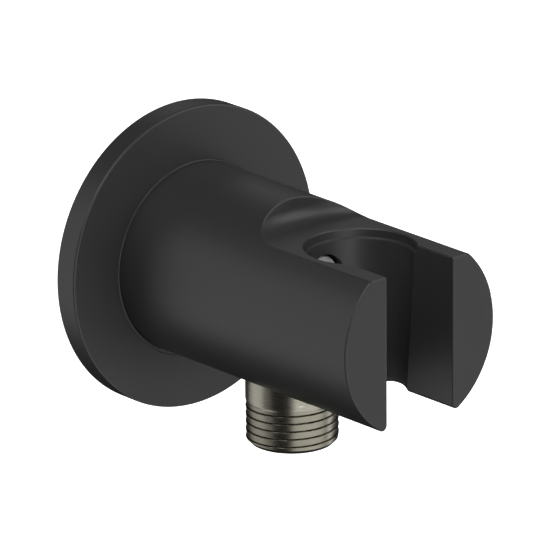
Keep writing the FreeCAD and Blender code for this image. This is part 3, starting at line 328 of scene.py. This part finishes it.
def roughen_and_shade_thread(material, height, fade, shade, rougher, flank_shade):
    """Roughens a metal below a height of its object, over the fade's length, as a cut thread is duller
    than a turned shank, and darkens its colour there as painted shade of the thread's grooves. The
    thread's upward flanks, which the mesh marks, get darker painted shade still."""
    tree = material.node_tree
    shader = principled(material)
    colour = shader.inputs["Base Color"].links[0].from_socket
    gloss = shader.inputs["Roughness"].links[0].from_socket
    where = add_node(tree, "ShaderNodeTexCoord", (-900, -400))
    parts = add_node(tree, "ShaderNodeSeparateXYZ", (-720, -400))
    tree.links.new(where.outputs["Object"], parts.inputs[0])
    zone = add_node(tree, "ShaderNodeMapRange", (-540, -400))
    zone.inputs["From Min"].default_value = (height + fade) * MM
    zone.inputs["From Max"].default_value = height * MM
    tree.links.new(parts.outputs["Z"], zone.inputs["Value"])
    below = zone.outputs[0]
    marked = add_node(tree, "ShaderNodeAttribute", (-540, -650), attribute_name="shaded_flank")
    shaded_flank = maths(tree, "MULTIPLY", (-350, -550), below, marked.outputs["Fac"])
    # Painted shade: the colour below the height is darkened for the thread's grooves.
    painted_thread_shade = blend(tree, below, colour, (*shade, 1.0), (-120, 450), how="MULTIPLY")
    shaded = blend(tree, shaded_flank, painted_thread_shade, (*flank_shade, 1.0), (60, 450), how="MULTIPLY")
    worn = maths(tree, "MULTIPLY_ADD", (-120, -250), below, rougher, gloss)
    tree.links.new(shaded, shader.inputs["Base Color"])
    tree.links.new(worn, shader.inputs["Roughness"])


def thread_turn(along, angle, turned):
    """Share of a turn of a right-hand pipe thread at a place: 0 in the groove and rising upward."""
    return (along / PIPE_PITCH - angle / (2.0 * math.pi) - turned + 0.5) % 1.0


def thread_cut(along, angle, turned, first, last, lean):
    """How deep a right-hand pipe thread is at a place. Half the depth is a steep parabola down to the
    middle of a groove a sixth of a pitch wide, and half is the fall of the crest. By the share lean
    the crest is full where its top tenth begins and falls straight to its lower edge, and by the rest
    it falls evenly to both edges. The thread runs out over a short ramp at its first and last length."""
    turn = thread_turn(along, angle, turned)
    from_groove = 2.0 * np.minimum(turn, 1.0 - turn)
    groove = np.clip(1.0 - from_groove / GROOVE_SHARE, 0.0, 1.0) ** 2
    leaning = np.maximum(1.0 - turn, (turn - CREST_TOP) / (1.0 - CREST_TOP))
    fall = lean * leaning + (1.0 - lean) * (1.0 - from_groove) ** 2
    start = np.clip((along - first) / THREAD_RAMP, 0.0, 1.0)
    end = np.clip((last - along) / THREAD_RAMP, 0.0, 1.0)
    return 0.5 * PIPE_DEPTH * (groove + fall) * start * end


def turned_loop(corners, fine_from, fine_to):
    """Rows of a closed profile: straight runs between corners (radius, length). The runs between two
    numbered corners are cut into small steps for the thread, and a long plain run gets one more row."""
    radii, lengths, fine = [], [], []
    for number, (radius, length) in enumerate(corners):
        next_radius, next_length = corners[(number + 1) % len(corners)]
        run = math.hypot(next_radius - radius, next_length - length)
        threaded = fine_from <= number < fine_to
        count = max(1, int(run / THREAD_STEP)) if threaded else (2 if run > PLAIN_STEP else 1)
        share = np.arange(count) / count
        radii.extend(radius + (next_radius - radius) * share)
        lengths.extend(length + (next_length - length) * share)
        fine.extend([threaded] * count)
    return np.array(radii), np.array(lengths), np.array(fine)


def threaded_skin(corners, fine_from, fine_to, turned, first, last, lean):
    """Closed turned skin about the upright axis with a pipe thread cut into it between two lengths."""
    radii, lengths, fine = turned_loop(corners, fine_from, fine_to)
    angle = np.linspace(0.0, 2.0 * math.pi, ROUND, endpoint=False)[None, :]
    depth = thread_cut(lengths[:, None], angle, turned, first, last, lean)
    cut = np.minimum(radii[:, None], PIPE_MAJOR - depth)
    return np.where(fine[:, None], cut, radii[:, None]), lengths, angle


def ring_grid(radii, lengths, angle):
    """Mesh arrays of a closed turned skin about the upright axis. radii has one row per step along
    the profile and one column per angle round the axis, and lengths one value per row. The last row
    joins the first and the last column joins the first."""
    upward = np.broadcast_to(lengths[:, None], radii.shape)
    points = np.stack([radii * np.cos(angle), radii * np.sin(angle), upward], axis=-1)
    index = np.arange(radii.size).reshape(radii.shape)
    below = np.roll(index, -1, axis=0)
    faces = np.stack([index, below, np.roll(below, -1, axis=1), np.roll(index, -1, axis=1)], axis=-1)
    return points.reshape(-1, 3), faces.reshape(-1, 4).tolist()


def make_outlet():
    """The outlet nipple about the upright line through its node: neck inside the elbow, plain shank
    with a small punched mark, hose thread, chamfer, and the valve's bore with the groove of its ring.
    The mark is a shallow bell curve about its own place on the shank."""
    low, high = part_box("outlet_nipple")
    bottom, top = low.z / MM, high.z / MM
    neck, channel, bore, ring_groove = 8.33, 5.0, 7.1, 7.6
    shoulder, thread_rows, seat = -15.0, -20.0, -17.5
    shoulder_edge, chamfer, bore_edge = 0.15, 1.0, 0.25
    chamfer_top = bottom + 1.05
    ring_low, ring_high = bottom + 0.95, bottom + 2.05
    thread_low, thread_high, thread_turned = bottom - 0.6, bottom + 10.4, 0.62
    mark_angle, mark_height = math.radians(240.6), -23.2
    mark_depth, mark_width, mark_rise = 0.03, 0.55, 0.28
    corners = [
        (channel, top), (neck, top), (neck, shoulder), (PIPE_MAJOR - shoulder_edge, shoulder),
        (PIPE_MAJOR, shoulder - shoulder_edge), (PIPE_MAJOR, thread_rows), (PIPE_MAJOR, chamfer_top),
        (PIPE_MAJOR - chamfer, bottom), (bore + bore_edge, bottom), (bore, bottom + bore_edge),
        (bore, ring_low), (ring_groove, ring_low), (ring_groove, ring_high), (bore, ring_high),
        (bore, seat), (channel, seat)]
    skin, lengths, angle = threaded_skin(corners, fine_from=5, fine_to=7, turned=thread_turned,
                                         first=thread_low, last=thread_high, lean=1.0)
    along = lengths[:, None]
    outside = skin > neck
    beside = PIPE_MAJOR * (angle - mark_angle)
    mark = mark_depth * np.exp(-(beside / mark_width) ** 2 - ((along - mark_height) / mark_rise) ** 2)
    # Marks the thread's upward flanks, where the material paints darker shade.
    shaded_flank = np.clip((thread_turn(along, angle, thread_turned) - CREST_TOP) / FLANK_FADE, 0.0, 1.0)
    shaded_flank = shaded_flank * outside * (along > chamfer_top)
    points, faces = ring_grid((skin - mark * outside) * MM, lengths * MM, angle)
    points[:, 1] += (low.y + high.y) / 2
    piece = put_mesh("hose_outlet", points, faces, nickel, smooth_degrees=50)
    piece.data.attributes.new("shaded_flank", "FLOAT", "POINT").data.foreach_set("value", shaded_flank.ravel())
    return piece


nickel = turned_metal("turned_nickel", (0.33, 0.315, 0.262), (0.455, 0.436, 0.363),
                      gloss=0.27, spread=0.09, axis=2, mark_mm=0.25, relief=0.6)
# The thread's colour gets painted shade below its height and more on its upward flanks; the added
# roughness is its duller cut finish.
roughen_and_shade_thread(nickel, height=-25.4, fade=0.5, shade=(0.84, 0.83, 0.81), rougher=0.02,
            flank_shade=(0.55, 0.55, 0.55))
hose_outlet = make_outlet()
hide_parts("outlet_nipple")
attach(hose_outlet, "root")


# Brass parts in the arm: the elbow and the wall nipple are turned from bar and left bare. The
# nipple's pipe thread goes into the fitting in the wall.

def make_wall_nipple():
    """The wall nipple about the arm's axis: pipe thread, collar, spigot with the locking groove and
    two ring grooves, and a hexagon socket in the front end whose half width at an angle is its
    apothem over the cosine of the angle from the nearest flat's middle."""
    low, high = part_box("wall_nipple")
    mouth, front = high.y / MM, low.y / MM
    thread_low, thread_high = 0.9, mouth + 0.6
    mouth_bore, channel, spigot, ring_floor = 7.2, 4.9, 9.0, 7.4
    thread_chamfer, mouth_depth, spigot_edge = 1.0, 1.6, 0.3
    collar, collar_edge, collar_end = 13.0, 0.25, -3.0
    lock_middle, lock_depth, ring_half = -6.3, 1.0, 1.15
    apothem, socket_depth, socket_rim, slack = 5.0, 5.0, 6.2, 0.01
    corners = [
        (mouth_bore, mouth), (PIPE_MAJOR - thread_chamfer, mouth), (PIPE_MAJOR, mouth - thread_chamfer),
        (PIPE_MAJOR, 0.0), (collar - collar_edge, 0.0), (collar, -collar_edge),
        (collar, collar_end + collar_edge), (collar - collar_edge, collar_end), (spigot, collar_end),
        (spigot, lock_middle + lock_depth), (spigot - lock_depth, lock_middle),
        (spigot, lock_middle - lock_depth)]
    for middle in (-11.0, -15.0):
        near, far = middle + ring_half, middle - ring_half
        corners += [(spigot, near), (ring_floor, near), (ring_floor, far), (spigot, far)]
    corners += [
        (spigot, front + spigot_edge), (spigot - spigot_edge, front), (socket_rim, front),
        (apothem, front), (apothem, front + socket_depth), (channel, front + socket_depth),
        (channel, mouth - mouth_depth), (mouth_bore, mouth - mouth_depth)]
    skin, lengths, angle = threaded_skin(corners, fine_from=2, fine_to=3, turned=0.0,
                                         first=thread_low, last=thread_high, lean=0.0)
    half_side = math.radians(30.0)
    from_flat = (angle + half_side) % (2.0 * half_side) - half_side
    in_socket = (lengths[:, None] < front + socket_depth + slack) & (abs(skin - apothem) < slack)
    skin = np.where(in_socket, apothem / np.cos(from_flat), skin)
    points, faces = ring_grid(skin * MM, lengths * MM, angle)
    points = np.stack([points[:, 0], points[:, 2], -points[:, 1]], axis=-1)
    return put_mesh("wall_thread", points, faces, brass, smooth_degrees=40)


brass = turned_metal("turned_brass", (0.52, 0.34, 0.13), (0.66, 0.46, 0.20),
                     gloss=0.30, spread=0.08, axis=1, mark_mm=0.30, relief=0.30)
finish_node("elbow_body", brass)
wall_thread = make_wall_nipple()
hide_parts("wall_nipple")
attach(wall_thread, "root")


# Screws, the valve's ring and the strainer: stainless steel, apart from the fixing screw, which
# is bright zinc plated. Its head shows as a light spot in the hole behind the socket.

zinc = turned_metal("bright_zinc", (0.86, 0.87, 0.88), (0.94, 0.94, 0.94),
                    gloss=0.62, spread=0.05, axis=1, mark_mm=0.50, relief=0.15)
steel = turned_metal("stainless_steel", (0.50, 0.50, 0.49), (0.62, 0.62, 0.61),
                     gloss=0.28, spread=0.06, axis=1, mark_mm=0.35, relief=0.25)
finish_node("fixing_screw", zinc)
for name in ("lock_screw", "valve_retaining_ring", "inlet_strainer"):
    finish_node(name, steel)


# Soft and moulded pieces inside: rubber rings, the fibre washer, the foam ring behind the
# flange, and the white cartridge of the non-return valve.

def soft_material(name, dark, light, gloss, grain_mm, relief):
    """Rubber, foam or fibre: a matte grained skin whose shade follows its own grain."""
    return pebbled_material(name, (dark, light), "Speck", gloss, 0.06, "Drift", grain_mm, 6.0, relief)


rubber = soft_material("ring_rubber", (0.010, 0.010, 0.010), (0.022, 0.022, 0.022),
                       gloss=0.45, grain_mm=0.15, relief=0.15)
foam = soft_material("gasket_foam", (0.02, 0.02, 0.02), (0.06, 0.06, 0.06),
                     gloss=0.85, grain_mm=0.35, relief=1.0)
fibre = soft_material("washer_fibre", (0.20, 0.05, 0.03), (0.32, 0.10, 0.06),
                      gloss=0.7, grain_mm=0.25, relief=0.5)
white_plastic = soft_material("valve_white", (0.60, 0.60, 0.57), (0.70, 0.70, 0.67),
                              gloss=0.40, grain_mm=0.60, relief=0.10)
for name in ("flange_grip_ring", "valve_seal", "nipple_rear_seal", "nipple_front_seal"):
    finish_node(name, rubber)
finish_node("flange_gasket", foam)
finish_node("outlet_washer", fibre)
finish_node("check_valve", white_plastic)


# Floor and light: a plain pale floor far below the arm and a soft studio around it. The
# studio is a dark room with large white panels round the arm, one above it and two below.

FLOOR_HEIGHT = -1500.0
FLOOR_REACH = 60000.0
ROOM_LIGHT = 0.03
PANELS = [
    # name, middle azimuth, half width, middle elevation, half height, soft edge, strength
    ("ceiling", -144.0, 60.0, 54.0, 22.0, 12.0, 2.3),
    ("left front", -112.0, 12.0, -2.0, 13.0, 14.0, 3.0),
    ("right front", -44.0, 24.0, 33.0, 25.0, 11.0, 1.85),
    ("front floor", -83.0, 47.0, -42.0, 23.0, 12.0, 1.08),
    ("right", -18.0, 10.0, -15.0, 18.0, 12.0, 2.0),
    ("left rear", 134.0, 20.0, -2.0, 34.0, 12.0, 0.88),
    ("rear", 106.0, 8.0, -16.0, 20.0, 10.0, 0.5),
    ("front", -80.0, 17.0, -16.0, 12.0, 12.0, 0.7),
    ("rear floor", 150.0, 22.0, -48.0, 10.0, 12.0, 0.95),
    ("right rear", 49.0, 14.0, 28.0, 11.0, 12.0, 0.4),
    ("left", 166.0, 8.0, -18.0, 16.0, 10.0, 0.22),
]

pale = start_material("pale_floor")
pale_shader = principled(pale)
pale_shader.inputs["Base Color"].default_value = (0.9, 0.9, 0.9, 1.0)
pale_shader.inputs["Roughness"].default_value = 0.9
pale_shader.inputs["Emission Color"].default_value = (1.0, 1.0, 1.0, 1.0)
pale_shader.inputs["Emission Strength"].default_value = 1.0
floor_corners = np.array([[-1, -1, 0], [1, -1, 0], [1, 1, 0], [-1, 1, 0]]) * FLOOR_REACH
floor_points = (floor_corners + [0.0, 0.0, FLOOR_HEIGHT]) * MM
floor = put_mesh("floor", floor_points, [[0, 1, 2, 3]], pale, smooth_degrees=30)
floor.visible_glossy = False
floor.visible_diffuse = False


def panel_window(tree, angle, middle, half, soft_edge, y):
    """How open a window is at an angle: 1 up to its half width from its middle, closing over its
    soft edge, in degrees."""
    away = maths(tree, "SUBTRACT", (-700, y), angle, middle)
    turn = maths(tree, "WRAP", (-550, y), away, 180.0, -180.0)
    size = maths(tree, "ABSOLUTE", (-400, y), turn)
    inside = maths(tree, "SUBTRACT", (-250, y), half, size)
    share = maths(tree, "DIVIDE", (-100, y), inside, soft_edge)
    step = add_node(tree, "ShaderNodeMapRange", (50, y), interpolation_type="SMOOTHSTEP")
    step.inputs["From Min"].default_value = -0.5
    step.inputs["From Max"].default_value = 0.5
    tree.links.new(share, step.inputs["Value"])
    return step.outputs[0]


def build_panel_group():
    """A white panel seen in a direction: a window in azimuth times a window in elevation, times the
    panel's strength."""
    tree, given, result = start_group(
        "light_panel",
        [("Azimuth", "NodeSocketFloat", 0.0), ("Elevation", "NodeSocketFloat", 0.0),
         ("Middle azimuth", "NodeSocketFloat", 0.0), ("Half width", "NodeSocketFloat", 30.0),
         ("Middle elevation", "NodeSocketFloat", 0.0), ("Half height", "NodeSocketFloat", 30.0),
         ("Soft edge", "NodeSocketFloat", 14.0), ("Strength", "NodeSocketFloat", 1.0)],
        [("Light", "NodeSocketFloat")])
    wide = panel_window(
        tree, given["Azimuth"], given["Middle azimuth"], given["Half width"], given["Soft edge"], 250)
    high = panel_window(
        tree, given["Elevation"], given["Middle elevation"], given["Half height"], given["Soft edge"], -50)
    lit = maths(tree, "MULTIPLY", (250, 250), given["Strength"], wide)
    tree.links.new(maths(tree, "MULTIPLY", (400, -50), lit, high), result["Light"])
    return tree


light_panel = build_panel_group()


def build_world():
    """The studio: each direction's azimuth and elevation in degrees go to every panel, and what the
    panels give is added to the dark room's light. The camera itself sees plain white behind the arm."""
    world = bpy.data.worlds.new("studio")
    world.use_nodes = True
    tree = world.node_tree
    tree.nodes.clear()
    where = add_node(tree, "ShaderNodeTexCoord", (-1400, 0))
    parts = add_node(tree, "ShaderNodeSeparateXYZ", (-1200, 0))
    tree.links.new(where.outputs["Generated"], parts.inputs[0])
    azimuth = maths(tree, "ARCTAN2", (-1000, 150), parts.outputs["Y"], parts.outputs["X"])
    elevation = maths(tree, "ARCSINE", (-1000, -100), parts.outputs["Z"])
    azimuth = maths(tree, "DEGREES", (-820, 150), azimuth)
    elevation = maths(tree, "DEGREES", (-820, -100), elevation)
    light = ROOM_LIGHT
    for row, (name, *values) in enumerate(PANELS):
        y = 500 - 260 * row
        panel = add_node(tree, "ShaderNodeGroup", (-550, y), label=name, node_tree=light_panel)
        for value, socket in zip((azimuth, elevation, *values), panel.inputs):
            feed(tree, value, socket)
        light = maths(tree, "ADD", (-300, y), light, panel.outputs["Light"])
    room = add_node(tree, "ShaderNodeBackground", (0, 0))
    backdrop = add_node(tree, "ShaderNodeBackground", (0, -200))
    backdrop.inputs["Color"].default_value = (1.0, 1.0, 1.0, 1.0)
    eye = add_node(tree, "ShaderNodeLightPath", (0, 300))
    choose = add_node(tree, "ShaderNodeMixShader", (200, 0))
    output = add_node(tree, "ShaderNodeOutputWorld", (400, 0))
    tree.links.new(light, room.inputs["Color"])
    tree.links.new(eye.outputs["Is Camera Ray"], choose.inputs[0])
    tree.links.new(room.outputs[0], choose.inputs[1])
    tree.links.new(backdrop.outputs[0], choose.inputs[2])
    tree.links.new(choose.outputs[0], output.inputs["Surface"])
    return world


scene.world = build_world()
scene.view_settings.view_transform = "Standard"
scene.view_settings.look = "None"


# Camera: it stands where the photographer's did, fitted to the photograph's outlines. It looks at
# a point beside the arm's axis, and its scale is that of the photograph at that point.

PHOTO_SIDE = 550
PIXELS_PER_MM = 4.503
SENSOR = 36.0
CAMERA_AZIMUTH = math.radians(-40.637)
CAMERA_ELEVATION = math.radians(18.918)
CAMERA_ROLL = math.radians(-0.567)
CAMERA_DISTANCE = 1239.0
AIM = Vector((-1.255, -35.0, 3.108))
HALF_PIXEL = 0.5 / PIXELS_PER_MM

back = Vector((math.sin(CAMERA_AZIMUTH) * math.cos(CAMERA_ELEVATION),
               -math.cos(CAMERA_AZIMUTH) * math.cos(CAMERA_ELEVATION),
               math.sin(CAMERA_ELEVATION)))
level = Vector((math.cos(CAMERA_AZIMUTH), math.sin(CAMERA_AZIMUTH), 0.0))
upright = back.cross(level)
across = math.cos(CAMERA_ROLL) * level + math.sin(CAMERA_ROLL) * upright
above = math.cos(CAMERA_ROLL) * upright - math.sin(CAMERA_ROLL) * level
place = (AIM + HALF_PIXEL * (above - across) + CAMERA_DISTANCE * back) * MM
lens = bpy.data.cameras.new("photo_camera")
lens.sensor_width = SENSOR
lens.lens = PIXELS_PER_MM * CAMERA_DISTANCE * SENSOR / PHOTO_SIDE
lens.clip_start = 0.05
lens.clip_end = 200.0
camera = bpy.data.objects.new("photo_camera", lens)
scene.collection.objects.link(camera)
camera.matrix_world = Matrix(((across.x, above.x, back.x, place.x),
                              (across.y, above.y, back.y, place.y),
                              (across.z, above.z, back.z, place.z),
                              (0.0, 0.0, 0.0, 1.0)))
scene.camera = camera
